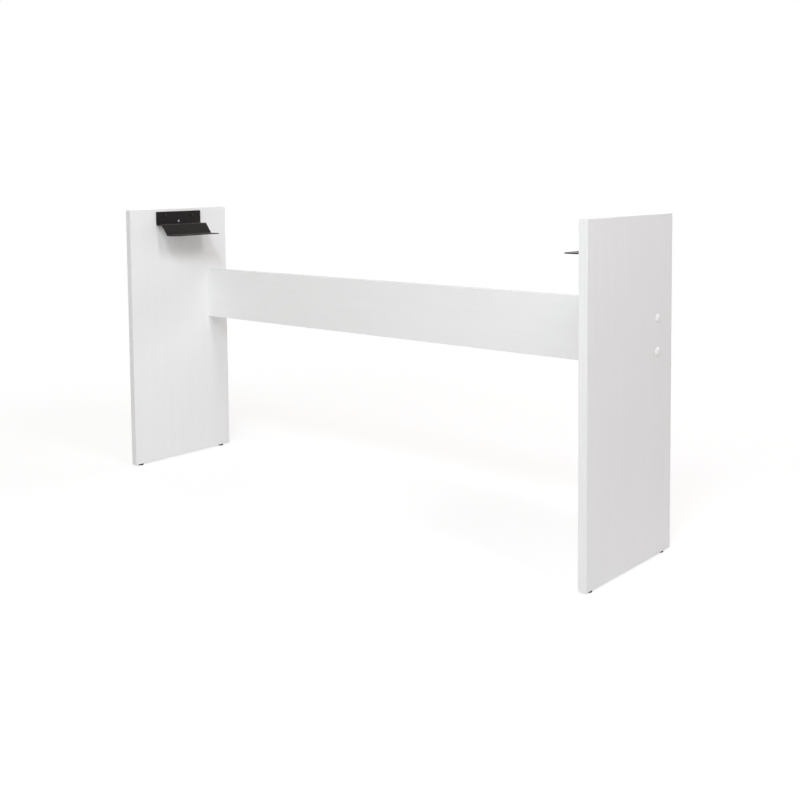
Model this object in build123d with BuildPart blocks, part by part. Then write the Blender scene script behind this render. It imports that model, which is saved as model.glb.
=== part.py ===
# Stand for a slab digital piano: two side panels, a rear rail, two steel brackets and four levelling feet.
# Millimetres. X runs from left to right, Y from front to back, Z up. The origin is on the floor, mid-stand.

import os

from build123d import *

# Side panels
inner_width = 1330.0
panel_height = 680.0
panel_depth = 330.0
panel_thickness = 18.0

# Edge bands on the boards
band_thickness = 1.0
band_edge_radius = 0.8

# Rear rail
rail_height = 134.0
rail_thickness = 18.0
rail_drop = 171.5
rail_setback = 261.0

# Connector bolts through the panels into the rail
bolt_diameter = 6.0
bolt_spacing = 66.0
bolt_head_diameter = 12.0
bolt_head_height = 3.2
bolt_socket_width = 5.0
bolt_socket_depth = 2.0
bolt_overrun = 6.0
bolt_hole_relief = 2.0
counterbore_depth = 5.0

# Barrel nuts in the rail's rear face
nut_diameter = 10.0
nut_length = 14.0
nut_setback = 34.0
nut_slot_width = 1.4
nut_slot_depth = 1.5

# Dowels between panel and rail
dowel_diameter = 8.0
dowel_spacing = 104.0
dowel_in_panel = 12.0
dowel_in_rail = 18.0
dowel_chamfer = 1.0
dowel_hole_relief = 1.0

# Domed caps over the bolt heads
cap_diameter = 18.0
cap_rim = 0.7
cap_dome = 2.5
cap_plug_length = 1.5

# Brackets, each bent from one sheet
sheet = 2.3
bend_radius = 2.5
bracket_length = 152.0
bracket_setback = 85.0
bracket_drop = 7.0
plate_height = 36.5
step_reach = 25.0
slope_run = 21.0
slope_fall = 27.0
flange_width = 35.0
bracket_corner_radius = 2.0
flange_hole_diameter = 7.0
flange_hole_spacing = 100.0
locating_hole_diameter = 7.0
locating_hole_drop = 26.0

# Bracket screws
screw_diameter = 3.5
screw_spacing = 92.0
screw_drop = 11.0
screw_bite = 13.0
screw_hole_relief = 1.0
screw_head_diameter = 8.0
screw_head_height = 2.6
screw_head_radius = 1.6
screw_recess_width = 1.0
screw_recess_length = 4.4
screw_recess_depth = 1.3

# Levelling feet
foot_diameter = 15.0
foot_height = 4.5
foot_front_inset = 21.0
foot_rear_inset = 27.0
foot_rim_radius = 0.8
foot_travel = 8.0
stud_diameter = 6.0
stud_engagement = 10.0
stud_seat_depth = 2.0
stud_chamfer = 0.8
stud_hole_relief = 2.0
insert_diameter = 10.0
insert_length = 14.0

# Clearances, all on the radius
seat_clearance = 0.05
thread_clearance = 0.05
bolt_hole_clearance = 0.25
head_clearance = 0.5
screw_hole_clearance = 0.5

# Places that follow from the sizes
panel_bottom = foot_height
panel_top = panel_bottom + panel_height
panel_middle = panel_bottom + panel_height / 2
panel_front = -panel_depth / 2
panel_rear = panel_depth / 2
core_depth = panel_depth - 2 * band_thickness
core_height = panel_height - 2 * band_thickness

rail_middle = panel_top - rail_drop - rail_height / 2
rail_core_height = rail_height - 2 * band_thickness
rail_back = panel_front + rail_setback + rail_thickness
rail_centre = rail_back - rail_thickness / 2
bolt_heights = (rail_middle - bolt_spacing / 2, rail_middle + bolt_spacing / 2)
dowel_heights = (rail_middle - dowel_spacing / 2, rail_middle + dowel_spacing / 2)

bracket_top = panel_top - bracket_drop
bracket_centre = panel_front + bracket_setback + bracket_length / 2
screw_depths = (bracket_centre - screw_spacing / 2, bracket_centre + screw_spacing / 2)
flange_hole_depths = (bracket_centre - flange_hole_spacing / 2, bracket_centre + flange_hole_spacing / 2)
flange_reach = step_reach + slope_run + flange_width
flange_fall = plate_height + slope_fall
flange_top = bracket_top - flange_fall + sheet

foot_depths = {"front": panel_front + foot_front_inset, "rear": panel_rear - foot_rear_inset}
stud_length = stud_engagement + foot_travel

# Radii of the holes that fasteners pass through or sit in
bolt_hole_radius = bolt_diameter / 2 + bolt_hole_clearance
counterbore_radius = bolt_head_diameter / 2 + head_clearance
nut_hole_radius = nut_diameter / 2 + seat_clearance
dowel_hole_radius = dowel_diameter / 2 + seat_clearance
pilot_hole_radius = screw_diameter / 2 + seat_clearance
screw_hole_radius = screw_diameter / 2 + screw_hole_clearance
insert_hole_radius = insert_diameter / 2 + seat_clearance
stud_hole_radius = stud_diameter / 2 + bolt_hole_clearance

sides = {"left": -1, "right": 1}
standing = (Align.CENTER, Align.CENTER, Align.MIN)
hanging = (Align.CENTER, Align.CENTER, Align.MAX)

os.makedirs("parts", exist_ok=True)


def save(piece, name):
    """Label a finished piece and write its file."""
    piece.part.label = name
    export_step(piece.part, f"parts/{name}.step")


def save_copies(piece, planes, name):
    """Write a node that holds one copy of the piece on each plane."""
    with BuildPart() as copies:
        with Locations(*planes):
            add(piece.part)
    save(copies, name)


def edge_band(middle, across, outward, width, length):
    """A strip of edging, seated on a board's edge, with its two long outer edges rounded over."""
    plane = Plane(origin=middle, x_dir=across, z_dir=Vector(*across).cross(Vector(*outward)))
    with BuildPart() as band:
        with BuildSketch(plane) as section:
            with Locations((0, band_thickness / 2)):
                Rectangle(width, band_thickness)
            fillet(section.vertices().group_by(Axis.Y)[-1], band_edge_radius)
        extrude(amount=length / 2, both=True)
    return band


# Fasteners and feet, each with its seat at Z = 0 and +Z pointing out of the face that it sits in

# Connector bolt: its head is sunk in the panel's outer face
with BuildPart() as connector_bolt:
    with Locations((0, 0, -counterbore_depth)):
        Cylinder(bolt_head_diameter / 2, bolt_head_height, align=standing)
        Cylinder(
            bolt_diameter / 2,
            panel_thickness - counterbore_depth + nut_setback + bolt_overrun,
            align=hanging,
        )
    with BuildSketch(Plane.XY.offset(bolt_head_height - counterbore_depth)):
        RegularPolygon(bolt_socket_width / 2, 6, major_radius=False)
    extrude(amount=-bolt_socket_depth, mode=Mode.SUBTRACT)

# Barrel nut: a cross-drilled pin, centred in the rail's thickness, with a slot to turn it by
nut_recess = (rail_thickness - nut_length) / 2
with BuildPart() as barrel_nut:
    with Locations((0, 0, -nut_recess)):
        Cylinder(nut_diameter / 2, nut_length, align=hanging)
        Box(nut_diameter, nut_slot_width, nut_slot_depth, align=hanging, mode=Mode.SUBTRACT)
    with Locations((0, 0, -rail_thickness / 2)):
        Cylinder(
            bolt_diameter / 2 + thread_clearance,
            nut_diameter,
            rotation=(0, 90, 0),
            mode=Mode.SUBTRACT,
        )

# Dowel: half in the panel, half in the rail
with BuildPart() as dowel:
    Cylinder(dowel_diameter / 2, dowel_in_panel, align=standing)
    Cylinder(dowel_diameter / 2, dowel_in_rail, align=hanging)
    chamfer(dowel.faces().filter_by(Axis.Z).edges(), dowel_chamfer)

# Cover cap: a shallow dome on a short rim, with a plug that fits the counterbore
cap_radius = cap_diameter / 2
cap_plug_radius = counterbore_radius - seat_clearance
cap_dome_radius = (cap_radius**2 + cap_dome**2) / (2 * cap_dome)
with BuildPart() as cover_cap:
    with BuildSketch(Plane.XZ):
        with BuildLine():
            Polyline(
                (0, cap_rim + cap_dome),
                (0, -cap_plug_length),
                (cap_plug_radius, -cap_plug_length),
                (cap_plug_radius, 0),
                (cap_radius, 0),
                (cap_radius, cap_rim),
            )
            RadiusArc((cap_radius, cap_rim), (0, cap_rim + cap_dome), -cap_dome_radius)
        make_face()
    revolve(axis=Axis.Z)

# Pan-head screw: a rounded head with a cross recess, on a shank that bites into the board
with BuildPart() as pan_screw:
    Cylinder(screw_head_diameter / 2, screw_head_height, align=standing)
    fillet(pan_screw.edges().group_by(Axis.Z)[-1], screw_head_radius)
    with Locations((0, 0, screw_head_height)):
        Box(screw_recess_length, screw_recess_width, screw_recess_depth, align=hanging, mode=Mode.SUBTRACT)
        Box(screw_recess_width, screw_recess_length, screw_recess_depth, align=hanging, mode=Mode.SUBTRACT)
    Cylinder(screw_diameter / 2, sheet + screw_bite, align=hanging)

# Foot pad: a moulded disc with a socket for its stud
with BuildPart() as foot_pad:
    Cylinder(foot_diameter / 2, foot_height, align=standing)
    fillet(foot_pad.edges().group_by(Axis.Z)[-1], foot_rim_radius)
    Cylinder(stud_diameter / 2 + seat_clearance, stud_seat_depth, align=standing, mode=Mode.SUBTRACT)

# Foot stud: set in the pad, and threaded into the insert
with BuildPart() as foot_stud:
    Cylinder(stud_diameter / 2, stud_seat_depth, align=standing)
    Cylinder(stud_diameter / 2, stud_length, align=hanging)
    chamfer(foot_stud.edges().group_by(Axis.Z)[0], stud_chamfer)

# Threaded insert: pressed into the panel's lower edge
with BuildPart() as foot_insert:
    Cylinder(insert_diameter / 2, insert_length, align=hanging)
    Cylinder(stud_diameter / 2 + thread_clearance, insert_length, align=hanging, mode=Mode.SUBTRACT)


# Side panels with all that is fixed to them
for side, sign in sides.items():
    inner_face = sign * inner_width / 2
    outer_face = inner_face + sign * panel_thickness
    panel_centre = (inner_face + outer_face) / 2
    outward = (sign, 0, 0)
    inward = (-sign, 0, 0)

    bolt_seats = [Plane(origin=(outer_face, rail_centre, z), z_dir=outward) for z in bolt_heights]
    dowel_seats = [Plane(origin=(inner_face, rail_centre, z), z_dir=outward) for z in dowel_heights]
    nut_x = inner_face - sign * nut_setback
    nut_seats = [Plane(origin=(nut_x, rail_back, z), x_dir=(1, 0, 0), z_dir=(0, 1, 0)) for z in bolt_heights]
    screw_height = bracket_top - screw_drop
    pilot_seats = [Plane(origin=(inner_face, y, screw_height), z_dir=inward) for y in screw_depths]
    plate_face = inner_face - sign * sheet
    screw_seats = [Plane(origin=(plate_face, y, screw_height), z_dir=inward) for y in screw_depths]
    foot_seats = {
        end: Plane(origin=(panel_centre, y, panel_bottom), z_dir=(0, 0, -1)) for end, y in foot_depths.items()
    }

    # The board, drilled for the rail's bolts and dowels, the bracket's screws and the feet
    with BuildPart() as side_panel:
        with Locations((panel_centre, 0, panel_middle)):
            Box(panel_thickness, core_depth, core_height)
        with Locations(*bolt_seats):
            CounterBoreHole(bolt_hole_radius, counterbore_radius, counterbore_depth, panel_thickness)
        with Locations(*[Plane(origin=seat.origin, z_dir=inward) for seat in dowel_seats]):
            Hole(dowel_hole_radius, dowel_in_panel + dowel_hole_relief)
        with Locations(*pilot_seats):
            Hole(pilot_hole_radius, screw_bite + screw_hole_relief)
        with Locations(*foot_seats.values()):
            CounterBoreHole(stud_hole_radius, insert_hole_radius, insert_length, stud_length + stud_hole_relief)
    save(side_panel, f"{side}_side_panel")

    # Edge bands: front and rear run the full height, top and bottom fit between them
    front_edge = (panel_centre, panel_front + band_thickness, panel_middle)
    front_band = edge_band(front_edge, (1, 0, 0), (0, -1, 0), panel_thickness, panel_height)
    save(front_band, f"{side}_front_edge_band")

    rear_edge = (panel_centre, panel_rear - band_thickness, panel_middle)
    rear_band = edge_band(rear_edge, (1, 0, 0), (0, 1, 0), panel_thickness, panel_height)
    save(rear_band, f"{side}_rear_edge_band")

    top_edge = (panel_centre, 0, panel_top - band_thickness)
    top_band = edge_band(top_edge, (1, 0, 0), (0, 0, 1), panel_thickness, core_depth)
    save(top_band, f"{side}_top_edge_band")

    bottom_edge = (panel_centre, 0, panel_bottom + band_thickness)
    bottom_strip = edge_band(bottom_edge, (1, 0, 0), (0, 0, -1), panel_thickness, core_depth)
    with BuildPart() as bottom_band:
        add(bottom_strip.part)
        with Locations(*foot_seats.values()):
            Hole(insert_hole_radius, band_thickness)
    save(bottom_band, f"{side}_bottom_edge_band")

    # Bracket: the profile runs down the plate, in along the step, down the slope and in along the flange
    profile_plane = Plane(
        origin=(inner_face, bracket_centre, bracket_top), x_dir=inward, z_dir=(0, sign, 0)
    )
    locating_seat = Plane(
        origin=(plate_face, bracket_centre, bracket_top - locating_hole_drop), z_dir=inward
    )
    flange_hole_x = inner_face - sign * (flange_reach - flange_width / 2)
    with BuildPart() as bracket:
        with BuildSketch(profile_plane):
            with BuildLine():
                FilletPolyline(
                    (0, 0),
                    (0, -plate_height),
                    (step_reach, -plate_height),
                    (step_reach + slope_run, -flange_fall),
                    (flange_reach, -flange_fall),
                    radius=[bend_radius + sheet, bend_radius, bend_radius + sheet],
                )
                offset(amount=sheet, side=Side.LEFT)
            make_face()
        extrude(amount=bracket_length / 2, both=True)
        plate_corners = bracket.edges().filter_by(Axis.X).group_by(Axis.Z)[-1]
        flange_corners = bracket.edges().filter_by(Axis.Z).group_by(Axis.X)[0 if sign > 0 else -1]
        fillet(plate_corners + flange_corners, bracket_corner_radius)
        with Locations(*screw_seats):
            Hole(screw_hole_radius, sheet)
        with Locations(locating_seat):
            Hole(locating_hole_diameter / 2, sheet)
        with Locations(*[(flange_hole_x, y, flange_top) for y in flange_hole_depths]):
            Hole(flange_hole_diameter / 2, sheet)
    save(bracket, f"{side}_bracket")

    save_copies(pan_screw, screw_seats, f"{side}_bracket_screws")
    save_copies(connector_bolt, bolt_seats, f"{side}_rail_bolts")
    save_copies(barrel_nut, nut_seats, f"{side}_barrel_nuts")
    save_copies(dowel, dowel_seats, f"{side}_rail_dowels")
    save_copies(cover_cap, bolt_seats, f"{side}_cover_caps")

    for end, seat in foot_seats.items():
        save_copies(foot_pad, [seat], f"{end}_{side}_foot_pad")
        save_copies(foot_stud, [seat], f"{end}_{side}_foot_stud")
        save_copies(foot_insert, [seat], f"{end}_{side}_foot_insert")


# Rear rail, drilled at both ends for the bolts, dowels and barrel nuts
with BuildPart() as rear_rail:
    with Locations((0, rail_centre, rail_middle)):
        Box(inner_width, rail_thickness, rail_core_height)
    for sign in sides.values():
        end_face = sign * inner_width / 2
        nut_x = end_face - sign * nut_setback
        with Locations(*[Plane(origin=(end_face, rail_centre, z), z_dir=(sign, 0, 0)) for z in bolt_heights]):
            Hole(bolt_hole_radius, nut_setback + bolt_overrun + bolt_hole_relief)
        with Locations(*[Plane(origin=(end_face, rail_centre, z), z_dir=(sign, 0, 0)) for z in dowel_heights]):
            Hole(dowel_hole_radius, dowel_in_rail + dowel_hole_relief)
        with Locations(*[Plane(origin=(nut_x, rail_back, z), z_dir=(0, 1, 0)) for z in bolt_heights]):
            Hole(nut_hole_radius, nut_recess + nut_length)
save(rear_rail, "rear_rail")

rail_top_edge = (0, rail_centre, rail_middle + rail_core_height / 2)
rail_top_band = edge_band(rail_top_edge, (0, 1, 0), (0, 0, 1), rail_thickness, inner_width)
save(rail_top_band, "rail_top_edge_band")

rail_bottom_edge = (0, rail_centre, rail_middle - rail_core_height / 2)
rail_bottom_band = edge_band(rail_bottom_edge, (0, 1, 0), (0, 0, -1), rail_thickness, inner_width)
save(rail_bottom_band, "rail_bottom_edge_band")
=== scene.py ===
# %% [markdown]
# # A white side-panel stand for a slab piano
# The real stand comes flat-packed: two laminated boards for the sides, a third across the back, two
# brackets bent from black sheet steel to carry the piano, and a handful of fasteners and feet. The CAD
# model already holds every one of those pieces at its real size, so this lesson adds only what a camera
# sees: finishes, thread, light and view.
#
# Their box is kept now, because the floor is set at its lowest point.

import math

import bpy
import numpy as np
from mathutils import Matrix, Vector


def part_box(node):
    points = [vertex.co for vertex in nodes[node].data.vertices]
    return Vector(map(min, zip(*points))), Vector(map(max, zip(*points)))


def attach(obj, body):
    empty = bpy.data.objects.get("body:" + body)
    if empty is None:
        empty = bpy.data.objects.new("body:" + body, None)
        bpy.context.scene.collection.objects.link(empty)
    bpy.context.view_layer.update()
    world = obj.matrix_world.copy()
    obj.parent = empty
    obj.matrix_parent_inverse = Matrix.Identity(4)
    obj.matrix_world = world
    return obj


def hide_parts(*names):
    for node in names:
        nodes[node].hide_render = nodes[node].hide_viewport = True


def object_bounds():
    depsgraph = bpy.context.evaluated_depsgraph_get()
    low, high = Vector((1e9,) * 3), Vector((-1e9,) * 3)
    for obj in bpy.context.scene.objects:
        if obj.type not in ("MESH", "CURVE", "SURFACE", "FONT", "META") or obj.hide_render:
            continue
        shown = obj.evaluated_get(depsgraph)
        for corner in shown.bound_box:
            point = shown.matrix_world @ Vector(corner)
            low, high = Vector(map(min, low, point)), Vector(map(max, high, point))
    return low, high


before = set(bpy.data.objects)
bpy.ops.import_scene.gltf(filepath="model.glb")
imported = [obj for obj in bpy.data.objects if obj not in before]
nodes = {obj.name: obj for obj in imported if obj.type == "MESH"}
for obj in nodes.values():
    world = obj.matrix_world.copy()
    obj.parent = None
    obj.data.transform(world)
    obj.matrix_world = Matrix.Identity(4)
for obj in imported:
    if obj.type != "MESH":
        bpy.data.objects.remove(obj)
cad_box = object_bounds()
MM = 0.001

# %% [markdown]
# ## A few helpers for every finish
# Colours are written the way a paint chart gives them, as sRGB hex, while a shader counts light, which is
# linear. One function turns the first into the second. Another adds a shader node, sets it and wires it in
# one line, so that each material below reads from top to bottom as a recipe.
#
# Nearly every finish here is one idea: a noise drifts over the piece, and colour, gloss and a little relief
# follow it. Two more functions hold that idea, one for the colour and one for the gloss and the relief.
# Most of a noise lies between 0.3 and 0.7, so that span is what gets stretched.

# %% Colour and node helpers
NOISE_SPAN = (0.3, 0.7)

# A Mix node has a set of sockets for each kind of data, so its colour sockets are found by number
MIX_FACTOR, MIX_FIRST, MIX_SECOND, MIX_RESULT = 0, 6, 7, 2


def linear(code):
    """sRGB hex to linear RGBA: c / 12.92 up to the knee at 0.04045, ((c + 0.055) / 1.055) ^ 2.4 above it."""
    channel = np.array([int(code[i:i + 2], 16) for i in (1, 3, 5)]) / 255
    light = np.where(channel <= 0.04045, channel / 12.92, ((channel + 0.055) / 1.055) ** 2.4)
    return (*light.tolist(), 1.0)


def add(tree, kind, inputs=None, **settings):
    """Add one node. Settings are its own properties, inputs are values, or output sockets to link from."""
    node = tree.nodes.new(kind)
    for name, value in settings.items():
        setattr(node, name, value)
    for name, value in (inputs or {}).items():
        if isinstance(value, bpy.types.NodeSocket):
            tree.links.new(value, node.inputs[name])
        else:
            node.inputs[name].default_value = value
    return node


def new_finish(name, **surface):
    """A material whose Principled shader has its plain sockets set, and Object coordinates to draw on."""
    material = bpy.data.materials.new(name)
    material.use_nodes = True
    tree = material.node_tree
    shader = tree.nodes["Principled BSDF"]
    for socket, value in surface.items():
        shader.inputs[socket.replace("_", " ")].default_value = value
    place = add(tree, "ShaderNodeTexCoord").outputs["Object"]
    return material, tree, shader, place


def blend(tree, pattern, span, body, shade):
    """A colour that goes from body to shade while the pattern goes through the span."""
    amount = add(tree, "ShaderNodeMapRange", {"Value": pattern, "From Min": span[0], "From Max": span[1]})
    mix = add(
        tree, "ShaderNodeMix",
        {MIX_FACTOR: amount.outputs["Result"], MIX_FIRST: body, MIX_SECOND: shade},
        data_type="RGBA",
    )
    return mix.outputs[MIX_RESULT]


def dress(tree, shader, colour, pattern, roughness_range, relief, relief_mm, strength):
    """Wire up a colour, a roughness that follows the pattern, and a relief of the given height."""
    roughness = add(
        tree, "ShaderNodeMapRange",
        {
            "Value": pattern, "From Min": NOISE_SPAN[0], "From Max": NOISE_SPAN[1],
            "To Min": roughness_range[0], "To Max": roughness_range[1],
        },
    )
    bump = add(tree, "ShaderNodeBump", {"Height": relief, "Distance": relief_mm * MM, "Strength": strength})
    tree.links.new(colour, shader.inputs["Base Color"])
    tree.links.new(roughness.outputs["Result"], shader.inputs["Roughness"])
    tree.links.new(bump.outputs["Normal"], shader.inputs["Normal"])


finishes = {}
print("white as written:", [round(value, 3) for value in linear("#FFFFFF")])

# %% [markdown]
# ## The boards: chipboard faced with white melamine
# The boards are pressed wood chips with a sheet of printed paper on each face, soaked in melamine resin and
# cured against an embossed plate. The eye gets a matt white with a very quiet wood grain along the board,
# and a trace of sheen where the light grazes. A picture of grain would do, but a stretched noise is lighter
# and never repeats: one noise for broad figure, one for fine pores, both drawn out along the board.
#
# Where a hole cuts through, the paper ends and the chips show. The shader can tell, because a face lies
# half a thickness from the board's middle and a hole's wall lies nearer than that.

# %% Melamine-faced chipboard
BOARD_WHITE = "#EEEEEE"
FIGURE_SHADE = "#ECECEC"
PORE_SHADE = "#E9E9E9"
BOARD_IOR = 1.5
BOARD_ROUGHNESS = (0.46, 0.56)
FIGURE_WIDTH_MM = 14.0
FIGURE_LENGTH_MM = 420.0
FIGURE_NOISE = {"Scale": 1.0, "Detail": 4.0, "Roughness": 0.6, "Distortion": 0.4}
FIGURE_SPAN = (0.35, 0.7)
PORE_WIDTH_MM = 1.6
PORE_LENGTH_MM = 38.0
PORE_NOISE = {"Scale": 1.0, "Detail": 2.0, "Roughness": 0.5}
PORE_SPAN = (0.55, 0.8)
PORE_RELIEF_MM = 0.03
PORE_STRENGTH = 0.6
CHIP_LIGHT = "#CDB48B"
CHIP_DARK = "#8F7350"
CHIP_SIZE_MM = 2.5
PAPER_MM = 0.2
X_AXIS, Y_AXIS, Z_AXIS = 0, 1, 2


def stretched(across_mm, along_mm, axis):
    """Mapping scale that makes a noise cell across_mm wide, and along_mm long down the axis."""
    scale = [1 / (across_mm * MM)] * 3
    scale[axis] = 1 / (along_mm * MM)
    return scale


def melamine_board(name, grain_axis, thick_axis, middle, thickness):
    """White faced board, its grain along one axis, with bare chips deeper than the paper through another."""
    material, tree, shader, place = new_finish(name, IOR=BOARD_IOR)
    figure_place = add(
        tree, "ShaderNodeMapping",
        {"Vector": place, "Scale": stretched(FIGURE_WIDTH_MM, FIGURE_LENGTH_MM, grain_axis)},
    )
    figure = add(tree, "ShaderNodeTexNoise", {"Vector": figure_place.outputs["Vector"], **FIGURE_NOISE})
    pore_place = add(
        tree, "ShaderNodeMapping",
        {"Vector": place, "Scale": stretched(PORE_WIDTH_MM, PORE_LENGTH_MM, grain_axis)},
    )
    pores = add(tree, "ShaderNodeTexNoise", {"Vector": pore_place.outputs["Vector"], **PORE_NOISE})
    grained = blend(tree, figure.outputs["Fac"], FIGURE_SPAN, linear(BOARD_WHITE), linear(FIGURE_SHADE))
    printed = blend(tree, pores.outputs["Fac"], PORE_SPAN, grained, linear(PORE_SHADE))

    axes = add(tree, "ShaderNodeSeparateXYZ", {"Vector": place})
    reach = add(tree, "ShaderNodeMath", {0: axes.outputs[thick_axis]}, operation="ABSOLUTE")
    inside = add(
        tree, "ShaderNodeMath",
        {0: reach.outputs["Value"], 1: middle, 2: thickness / 2 - PAPER_MM * MM},
        operation="COMPARE",
    )
    chips = add(tree, "ShaderNodeTexVoronoi", {"Vector": place, "Scale": 1 / (CHIP_SIZE_MM * MM)})
    chip_tone = add(tree, "ShaderNodeSeparateColor", {"Color": chips.outputs["Color"]})
    core = add(
        tree, "ShaderNodeMix",
        {
            MIX_FACTOR: chip_tone.outputs["Red"],
            MIX_FIRST: linear(CHIP_LIGHT), MIX_SECOND: linear(CHIP_DARK),
        },
        data_type="RGBA",
    )
    colour = add(
        tree, "ShaderNodeMix",
        {MIX_FACTOR: inside.outputs["Value"], MIX_FIRST: printed, MIX_SECOND: core.outputs[MIX_RESULT]},
        data_type="RGBA",
    )
    dress(
        tree, shader, colour.outputs[MIX_RESULT],
        pores.outputs["Fac"], BOARD_ROUGHNESS, pores.outputs["Fac"], PORE_RELIEF_MM, PORE_STRENGTH,
    )
    return material


def middle_and_thickness(node, axis):
    """Distance of a board's middle from the origin plane, and its thickness, along an axis."""
    low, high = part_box(node)
    return abs(low[axis] + high[axis]) / 2, high[axis] - low[axis]


side_board = melamine_board(
    "melamine_faced_chipboard_side", Z_AXIS, X_AXIS, *middle_and_thickness("left_side_panel", X_AXIS)
)
rail_board = melamine_board(
    "melamine_faced_chipboard_rail", X_AXIS, Y_AXIS, *middle_and_thickness("rear_rail", Y_AXIS)
)
finishes["left_side_panel"] = side_board
finishes["right_side_panel"] = side_board
finishes["rear_rail"] = rail_board
print("boards:", side_board.name, rail_board.name)

# %% [markdown]
# ## The edges: extruded ABS band
# A board's sawn edges are closed with a millimetre of ABS, extruded in a strip, glued on hot, and rounded
# over by a scraper. It is close to the printed face in colour, a little glossier, and carries faint lines
# along its run from the die and the scraper. The run is simply the longest side of each band's box.

# %% Edge bands
BAND_WHITE = "#EDEDED"
BAND_SHADE = "#E6E6E6"
BAND_IOR = 1.52
BAND_ROUGHNESS = (0.36, 0.48)
DIE_LINE_MM = 1.2
DIE_RUN_MM = 160.0
DIE_NOISE = {"Scale": 1.0, "Detail": 3.0, "Roughness": 0.55}
DIE_SPAN = (0.35, 0.75)
DIE_RELIEF_MM = 0.02
DIE_STRENGTH = 0.5


def abs_edging(name, run_axis):
    """White plastic strip with faint drawn lines along its run."""
    material, tree, shader, place = new_finish(name, IOR=BAND_IOR)
    line_place = add(
        tree, "ShaderNodeMapping",
        {"Vector": place, "Scale": stretched(DIE_LINE_MM, DIE_RUN_MM, run_axis)},
    )
    lines = add(tree, "ShaderNodeTexNoise", {"Vector": line_place.outputs["Vector"], **DIE_NOISE})
    colour = blend(tree, lines.outputs["Fac"], DIE_SPAN, linear(BAND_WHITE), linear(BAND_SHADE))
    dress(
        tree, shader, colour,
        lines.outputs["Fac"], BAND_ROUGHNESS, lines.outputs["Fac"], DIE_RELIEF_MM, DIE_STRENGTH,
    )
    return material


edging = {
    axis: abs_edging(f"extruded_abs_edging_along_{letter}", axis)
    for axis, letter in ((X_AXIS, "x"), (Y_AXIS, "y"), (Z_AXIS, "z"))
}
bands = [name for name in nodes if name.endswith("edge_band")]
for name in bands:
    low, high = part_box(name)
    finishes[name] = edging[int(np.argmax(high - low))]
print(f"{len(bands)} edge bands")

# %% [markdown]
# ## The brackets: powder-coated sheet steel
# Powder is sprayed on dry and melted in an oven, so it flows into a soft pebbled skin, the orange peel.
# Black powder is not quite black: it has a satin gloss that pales at a grazing angle. The shader's own
# Fresnel gives part of that, and a little sheen adds the rest, because a pebbled skin shows its lit crests
# when it is seen almost edge-on. The real pebble is about half a millimetre across. It is drawn nearly
# twice as coarse, since a finer one would only flicker.

# %% Powder coat
POWDER_BLACK = "#130F0E"
POWDER_SHADE = "#191413"
POWDER_SPECULAR = 0.15
POWDER_SHEEN = 0.1
POWDER_SHEEN_ROUGHNESS = 0.4
POWDER_ROUGHNESS = (0.26, 0.36)
PEBBLE_MM = 0.9
PEBBLE_NOISE = {"Scale": 1 / (PEBBLE_MM * MM), "Detail": 2.0, "Roughness": 0.45}
PEBBLE_RELIEF_MM = 0.02
PEBBLE_STRENGTH = 0.7
CLOUD_MM = 22.0
CLOUD_NOISE = {"Scale": 1 / (CLOUD_MM * MM), "Detail": 3.0, "Roughness": 0.6}


def powder_coat(name):
    """Satin black with pebbled relief, and gloss that drifts a little where the coat is thicker."""
    material, tree, shader, place = new_finish(
        name, Specular_IOR_Level=POWDER_SPECULAR,
        Sheen_Weight=POWDER_SHEEN, Sheen_Roughness=POWDER_SHEEN_ROUGHNESS,
    )
    pebbles = add(tree, "ShaderNodeTexNoise", {"Vector": place, **PEBBLE_NOISE})
    clouds = add(tree, "ShaderNodeTexNoise", {"Vector": place, **CLOUD_NOISE})
    colour = blend(tree, clouds.outputs["Fac"], NOISE_SPAN, linear(POWDER_BLACK), linear(POWDER_SHADE))
    dress(
        tree, shader, colour,
        clouds.outputs["Fac"], POWDER_ROUGHNESS, pebbles.outputs["Fac"], PEBBLE_RELIEF_MM, PEBBLE_STRENGTH,
    )
    return material


black_coat = powder_coat("black_powder_coated_steel")
for side in ("left", "right"):
    finishes[f"{side}_bracket"] = black_coat
print("brackets:", black_coat.name)

# %% [markdown]
# ## Small metal: blackened screws and zinc-plated hardware
# The bracket screws are steel, blackened in a hot salt bath: a dark metal whose thin skin leaves the
# machining soft underneath. Bolts, nuts, inserts and studs are zinc-plated, which is pale and faintly blue,
# with a mottled gloss from the plating barrel. Both are one recipe with other colours and sizes, so one
# function makes both.

# %% Metals
BLACKENED = {"bright": "#3B3937", "dull": "#2F2D2B", "roughness_range": (0.34, 0.48), "mottle_mm": 0.8}
ZINC = {"bright": "#CFD1D2", "dull": "#B4B7BA", "roughness_range": (0.24, 0.40), "mottle_mm": 1.5}
MOTTLE_NOISE = {"Detail": 4.0, "Roughness": 0.65}
MOTTLE_RELIEF_MM = 0.01
MOTTLE_STRENGTH = 0.5


def plated_metal(name, bright, dull, roughness_range, mottle_mm):
    """Bare or plated metal whose colour and gloss drift together over a mottle of the given size."""
    material, tree, shader, place = new_finish(name, Metallic=1.0)
    mottle = add(
        tree, "ShaderNodeTexNoise",
        {"Vector": place, "Scale": 1 / (mottle_mm * MM), **MOTTLE_NOISE},
    )
    colour = blend(tree, mottle.outputs["Fac"], NOISE_SPAN, linear(bright), linear(dull))
    dress(
        tree, shader, colour,
        mottle.outputs["Fac"], roughness_range, mottle.outputs["Fac"], MOTTLE_RELIEF_MM, MOTTLE_STRENGTH,
    )
    return material


blackened = plated_metal("blackened_steel", **BLACKENED)
zinc = plated_metal("barrel_plated_zinc", **ZINC)
for side in ("left", "right"):
    finishes[f"{side}_bracket_screws"] = blackened
for name in nodes:
    if name.endswith(("rail_bolts", "barrel_nuts", "foot_insert", "foot_stud")):
        finishes[name] = zinc
print("metals:", blackened.name, zinc.name)

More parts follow.
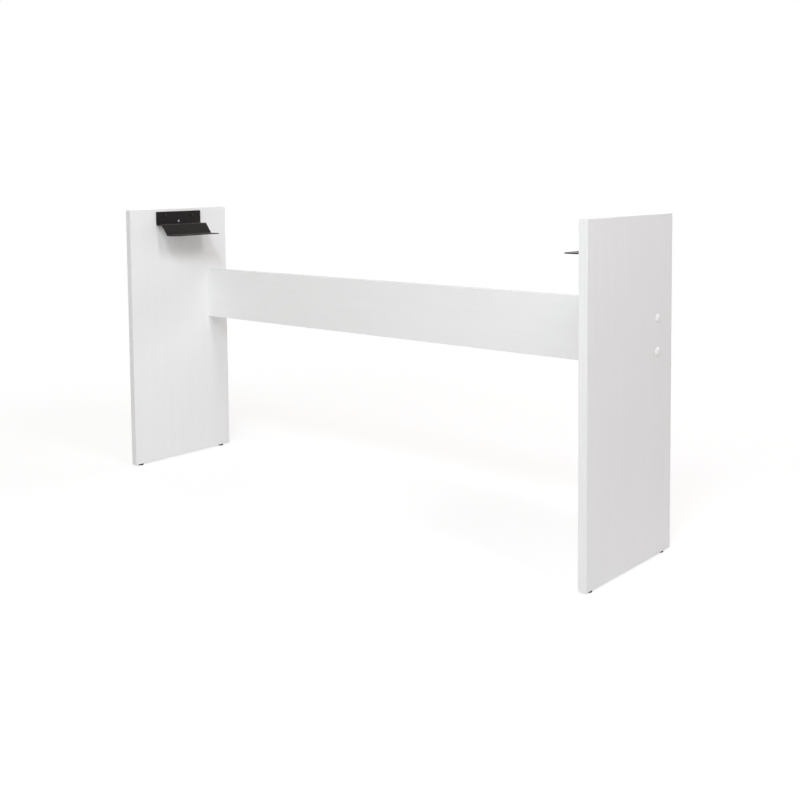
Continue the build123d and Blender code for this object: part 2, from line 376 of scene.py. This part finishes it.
# %% [markdown]
# ## Dowels, caps and feet
# The dowels are turned beech, pale brown with short dark flecks along the grain. The cover caps are
# injection-moulded in white plastic and shine more than the board, so each dome catches a small highlight.
# The feet are moulded in black polyethylene, waxy and rather dull.

# %% Beech and moulded plastics
BEECH_LIGHT = "#D8B58A"
BEECH_DARK = "#A97C4F"
BEECH_IOR = 1.45
BEECH_ROUGHNESS = (0.6, 0.75)
FLECK_WIDTH_MM = 0.7
FLECK_LENGTH_MM = 6.0
FLECK_NOISE = {"Scale": 1.0, "Detail": 3.0, "Roughness": 0.6}
FLECK_SPAN = (0.4, 0.75)
FLECK_RELIEF_MM = 0.05
WHITE_CAP = {
    "body": "#EEEEED", "shade": "#E9E9E8", "specular": 0.5,
    "roughness_range": (0.22, 0.32), "texture_mm": 1.2, "relief_mm": 0.01,
}
BLACK_FOOT = {
    "body": "#0C0C0B", "shade": "#131312", "specular": 0.2,
    "roughness_range": (0.48, 0.62), "texture_mm": 0.8, "relief_mm": 0.02,
}
PLASTIC_IOR = 1.5
MOULD_NOISE = {"Detail": 3.0, "Roughness": 0.5}
SMALL_PIECE_STRENGTH = 0.5


def turned_beech(name, grain_axis):
    """Bare beech with flecks along its grain."""
    material, tree, shader, place = new_finish(name, IOR=BEECH_IOR)
    fleck_place = add(
        tree, "ShaderNodeMapping",
        {"Vector": place, "Scale": stretched(FLECK_WIDTH_MM, FLECK_LENGTH_MM, grain_axis)},
    )
    flecks = add(tree, "ShaderNodeTexNoise", {"Vector": fleck_place.outputs["Vector"], **FLECK_NOISE})
    colour = blend(tree, flecks.outputs["Fac"], FLECK_SPAN, linear(BEECH_LIGHT), linear(BEECH_DARK))
    dress(
        tree, shader, colour,
        flecks.outputs["Fac"], BEECH_ROUGHNESS, flecks.outputs["Fac"], FLECK_RELIEF_MM, SMALL_PIECE_STRENGTH,
    )
    return material


def moulded_plastic(name, body, shade, specular, roughness_range, texture_mm, relief_mm):
    """Injection-moulded plastic: a fine mould texture, and gloss that follows it."""
    material, tree, shader, place = new_finish(name, IOR=PLASTIC_IOR, Specular_IOR_Level=specular)
    texture = add(
        tree, "ShaderNodeTexNoise",
        {"Vector": place, "Scale": 1 / (texture_mm * MM), **MOULD_NOISE},
    )
    colour = blend(tree, texture.outputs["Fac"], NOISE_SPAN, linear(body), linear(shade))
    dress(
        tree, shader, colour,
        texture.outputs["Fac"], roughness_range, texture.outputs["Fac"], relief_mm, SMALL_PIECE_STRENGTH,
    )
    return material


beech = turned_beech("turned_beech", X_AXIS)
white_cap = moulded_plastic("moulded_white_polypropylene", **WHITE_CAP)
black_foot = moulded_plastic("moulded_black_polyethylene", **BLACK_FOOT)
for name in nodes:
    if name.endswith("rail_dowels"):
        finishes[name] = beech
    elif name.endswith("cover_caps"):
        finishes[name] = white_cap
    elif name.endswith("foot_pad"):
        finishes[name] = black_foot
print("small pieces:", beech.name, white_cap.name, black_foot.name)

# %% [markdown]
# ## Putting the finishes on
# A CAD node is never moved or reshaped here. It keeps its mesh and takes its finish through its material
# slots, which is all that dressing it needs.

# %% Assign the finishes
for name, piece in nodes.items():
    piece.data.materials.clear()
    piece.data.materials.append(finishes[name])
print(f"{len(finishes)} nodes dressed, {len(set(finishes.values()))} finishes")

# %% [markdown]
# ## The foot studs, with their thread
# When a foot is screwed out, a few millimetres of M6 stud show under the panel. The CAD stud is a plain bar
# of the thread's outer size, which is right for fit and collision but looks wrong bare. A screw modifier
# could cut the thread. A formula is shorter: wrap a grid round a bar, and let the radius rise and fall once
# for every pitch climbed and once for every turn, so that the ridge becomes a helix.

# %% Threaded studs
THREAD_PITCH_MM = 1.0
THREAD_DEPTH_MM = 0.61
# Over 0.5 the wave is clipped, which leaves flat crests and roots
THREAD_STEEPNESS = 0.75
POINT_LENGTH_MM = 0.8
PLAIN_LENGTH_MM = 2.0
TURN_STEPS = 40
ROWS_PER_PITCH = 10


def threaded_bar(name, low, high):
    """Radius on a grid of angle a and height z: the bar's radius, less the thread's depth times a clipped
    wave of (z / pitch - a / turn). The wave dies out over the plain length below, and a cone points the
    top."""
    centre = (np.array(low) + np.array(high)) / 2
    radius = (high[0] - low[0]) / 2
    length = high[2] - low[2]
    rows = int(round(length / (THREAD_PITCH_MM * MM) * ROWS_PER_PITCH)) + 1
    height = np.linspace(0.0, length, rows)[:, None]
    angle = np.linspace(0.0, 2 * np.pi, TURN_STEPS, endpoint=False)[None, :]
    phase = height / (THREAD_PITCH_MM * MM) - angle / (2 * np.pi)
    groove = np.clip(0.5 - THREAD_STEEPNESS * np.cos(2 * np.pi * phase), 0.0, 1.0)
    start = np.clip((height - PLAIN_LENGTH_MM * MM) / (THREAD_PITCH_MM * MM), 0.0, 1.0)
    point = np.clip((height - (length - POINT_LENGTH_MM * MM)) / (POINT_LENGTH_MM * MM), 0.0, 1.0)
    wall = radius - THREAD_DEPTH_MM * MM * groove * start
    wall = np.minimum(wall, radius - POINT_LENGTH_MM * MM * point)
    ring = np.stack([wall * np.cos(angle), wall * np.sin(angle), height + 0.0 * angle], axis=-1)
    ends = np.array([[0.0, 0.0, 0.0], [0.0, 0.0, length]])
    points = np.concatenate([ring.reshape(-1, 3), ends]) + [centre[0], centre[1], low[2]]

    index = np.arange(rows * TURN_STEPS).reshape(rows, TURN_STEPS)
    after = np.roll(index, -1, axis=1)
    walls = np.stack([index[:-1], after[:-1], after[1:], index[1:]], axis=-1).reshape(-1, 4)
    foot_end = np.full(TURN_STEPS, rows * TURN_STEPS)
    foot = np.stack([after[0], index[0], foot_end], axis=-1)
    tip = np.stack([index[-1], after[-1], foot_end + 1], axis=-1)
    mesh = bpy.data.meshes.new(name)
    mesh.from_pydata(points.tolist(), [], walls.tolist() + foot.tolist() + tip.tolist())
    mesh.shade_smooth()
    mesh.materials.append(zinc)
    piece = bpy.data.objects.new(name, mesh)
    bpy.context.scene.collection.objects.link(piece)
    return piece


stud_names = [name for name in nodes if name.endswith("foot_stud")]
for name in stud_names:
    stud = threaded_bar(f"{name}_threaded", *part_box(name))
    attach(stud, name.removesuffix("_stud"))
    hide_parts(name)
print(f"{len(stud_names)} threaded studs, {len(stud.data.polygons)} faces each")

# %% [markdown]
# ## Floor and background
# The stand is shown on plain white. A floor that is white only because a lot of light falls on it would
# need so much light that the white boards burn out too. Instead the floor and the world answer two kinds of
# ray in two ways: what lights the object comes from a plain pale floor and an even sky, and what the camera
# or a reflection sees is white. The seen floor is mostly its own white, with a share of real, shaded paint
# round the stand, so the soft shadow stays.

# %% Floor and world
FLOOR_REACH_M = 14.0
FLOOR_PAINT = "#E2E4E5"
SEEN_WHITE = 0.70
SEEN_PAINT = "#9E9E9E"
SHADOW_FULL_M = 0.9
SHADOW_GONE_M = 2.2
SKY_STRENGTH = 0.29
SKY_COLOUR = "#FFF0E9"
FULL_WHITE = 1.0


def seen_ray(tree):
    """1 for a ray from the camera or off a glossy or clear surface, and 0 for a ray that carries light."""
    path = add(tree, "ShaderNodeLightPath")
    shiny = add(
        tree, "ShaderNodeMath",
        {0: path.outputs["Is Glossy Ray"], 1: path.outputs["Is Transmission Ray"]},
        operation="MAXIMUM",
    )
    return add(
        tree, "ShaderNodeMath",
        {0: shiny.outputs["Value"], 1: path.outputs["Is Camera Ray"]},
        operation="MAXIMUM",
    ).outputs["Value"]


floor_mesh = bpy.data.meshes.new("floor")
floor_height = cad_box[0][2]
floor_corners = [
    (x * FLOOR_REACH_M, y * FLOOR_REACH_M, floor_height) for x, y in ((-1, -1), (1, -1), (1, 1), (-1, 1))
]
floor_mesh.from_pydata(floor_corners, [], [(0, 1, 2, 3)])
floor = bpy.data.objects.new("floor", floor_mesh)
bpy.context.scene.collection.objects.link(floor)

paint = bpy.data.materials.new("pale_studio_floor")
paint.use_nodes = True
tree = paint.node_tree
tree.nodes.clear()
lit = add(tree, "ShaderNodeBsdfDiffuse", {"Color": linear(FLOOR_PAINT)})
own_white = add(tree, "ShaderNodeEmission", {"Strength": SEEN_WHITE})
shaded = add(tree, "ShaderNodeBsdfDiffuse", {"Color": linear(SEEN_PAINT)})
near = add(tree, "ShaderNodeAddShader", {0: own_white.outputs[0], 1: shaded.outputs[0]})
far = add(tree, "ShaderNodeEmission", {"Strength": FULL_WHITE})
place = add(tree, "ShaderNodeTexCoord")
distance = add(tree, "ShaderNodeVectorMath", {0: place.outputs["Object"]}, operation="LENGTH")
fade = add(
    tree, "ShaderNodeMapRange",
    {"Value": distance.outputs["Value"], "From Min": SHADOW_FULL_M, "From Max": SHADOW_GONE_M},
    interpolation_type="SMOOTHSTEP",
)
seen = add(tree, "ShaderNodeMixShader", {0: fade.outputs["Result"], 1: near.outputs[0], 2: far.outputs[0]})
either = add(tree, "ShaderNodeMixShader", {0: seen_ray(tree), 1: lit.outputs[0], 2: seen.outputs[0]})
add(tree, "ShaderNodeOutputMaterial", {"Surface": either.outputs[0]})
floor_mesh.materials.append(paint)

world = bpy.data.worlds.new("even_sky")
bpy.context.scene.world = world
world.use_nodes = True
tree = world.node_tree
tree.nodes.clear()
sky = add(tree, "ShaderNodeBackground", {"Color": linear(SKY_COLOUR), "Strength": SKY_STRENGTH})
white = add(tree, "ShaderNodeBackground", {"Color": linear("#FFFFFF"), "Strength": FULL_WHITE})
either = add(tree, "ShaderNodeMixShader", {0: seen_ray(tree), 1: sky.outputs[0], 2: white.outputs[0]})
add(tree, "ShaderNodeOutputWorld", {"Surface": either.outputs[0]})
print("floor at", floor_height, "m")

# %% [markdown]
# ## Studio light
# A product like this stands in a ring of soft boxes. The key, high and in front to the right, throws the
# bracket's soft shade on the board behind it. A wide one in front brightens the rail and the front edges,
# one on the right and one on the left rear reach the sides, and a bright wall behind lifts the rear faces
# and the floor.
#
# Their strengths and faint tints started from a fit to the photograph: each lamp was rendered alone, and
# since light adds up, the best sum is plain algebra. It gave a cool key over a warmer sky, which leaves
# the lit boards white and the shade under the bracket a little warm. The fit was then trimmed, and the left
# and rear lamps were set apart from it, because the faces that they light aren't in the photograph.

# %% Lamps
LAMP_CENTRE = Vector((0.0, 0.0, 0.40))
LAMP_DISTANCE_M = 3.2
LAMPS = {
    "key_softbox": {"turn": 35, "rise": 44, "side": 0.8, "watts": 38.5, "colour": "#EDF6FF"},
    "front_softbox": {"turn": 20, "rise": 30, "side": 1.6, "watts": 24.8, "colour": "#FCFFF6"},
    "right_softbox": {"turn": 80, "rise": 44, "side": 0.8, "watts": 27.5, "colour": "#FFFBFD"},
    "back_wall": {"turn": 180, "rise": 8, "side": 1.6, "watts": 38.0, "colour": "#FAFBFA"},
    "left_softbox": {"turn": 252, "rise": 25, "side": 1.6, "watts": 22.0, "colour": "#FFFEFD"},
}
for name, lamp in LAMPS.items():
    light = bpy.data.lights.new(name, "AREA")
    light.shape = "SQUARE"
    light.size = lamp["side"]
    light.energy = lamp["watts"]
    light.color = linear(lamp["colour"])[:3]
    turn = math.radians(lamp["turn"])
    rise = math.radians(lamp["rise"])
    towards = Vector((math.sin(turn) * math.cos(rise), -math.cos(turn) * math.cos(rise), math.sin(rise)))
    holder = bpy.data.objects.new(name, light)
    holder.location = LAMP_CENTRE + towards * LAMP_DISTANCE_M
    holder.rotation_euler = towards.to_track_quat("Z", "Y").to_euler()
    bpy.context.scene.collection.objects.link(holder)
print("lamps:", list(LAMPS))

# %% [markdown]
# ## The camera
# The view was worked out from the straight edges in the photograph: where the camera stood, how it was
# turned, and how long its lens was. The picture is an off-centre crop, so its true centre, where the lens
# pointed, is not the middle of the frame. Blender's lens shift says the same thing.

# %% Camera
IMAGE_SIDE = 800
CAMERA_PLACE_MM = (1663.6, -1871.5, 764.6)
CAMERA_TURN = math.radians(43.412)
CAMERA_DIP = math.radians(3.988)
CAMERA_ROLL = math.radians(-0.771)
FOCAL_PIXELS = 1081.36
LENS_CENTRE_PIXEL = (328.05, 252.51)
SENSOR_MM = 36.0

ahead = Vector((
    -math.sin(CAMERA_TURN) * math.cos(CAMERA_DIP),
    math.cos(CAMERA_TURN) * math.cos(CAMERA_DIP),
    -math.sin(CAMERA_DIP),
))
level_right = Vector((math.cos(CAMERA_TURN), math.sin(CAMERA_TURN), 0.0))
level_up = level_right.cross(ahead)
right = level_right * math.cos(CAMERA_ROLL) + level_up * math.sin(CAMERA_ROLL)
up = level_up * math.cos(CAMERA_ROLL) - level_right * math.sin(CAMERA_ROLL)

lens = bpy.data.cameras.new("camera")
lens.sensor_fit = "HORIZONTAL"
lens.sensor_width = SENSOR_MM
lens.lens = FOCAL_PIXELS * SENSOR_MM / IMAGE_SIDE
lens.shift_x = 0.5 - LENS_CENTRE_PIXEL[0] / IMAGE_SIDE
lens.shift_y = LENS_CENTRE_PIXEL[1] / IMAGE_SIDE - 0.5
camera = bpy.data.objects.new("camera", lens)
facing = Matrix((right, up, -ahead)).transposed().to_4x4()
camera.matrix_world = Matrix.Translation(Vector(CAMERA_PLACE_MM) * MM) @ facing
bpy.context.scene.collection.objects.link(camera)
bpy.context.scene.camera = camera
bpy.context.scene.view_settings.view_transform = "Standard"
print(f"lens {lens.lens:.1f} mm, shift {lens.shift_x:.3f} {lens.shift_y:.3f}")
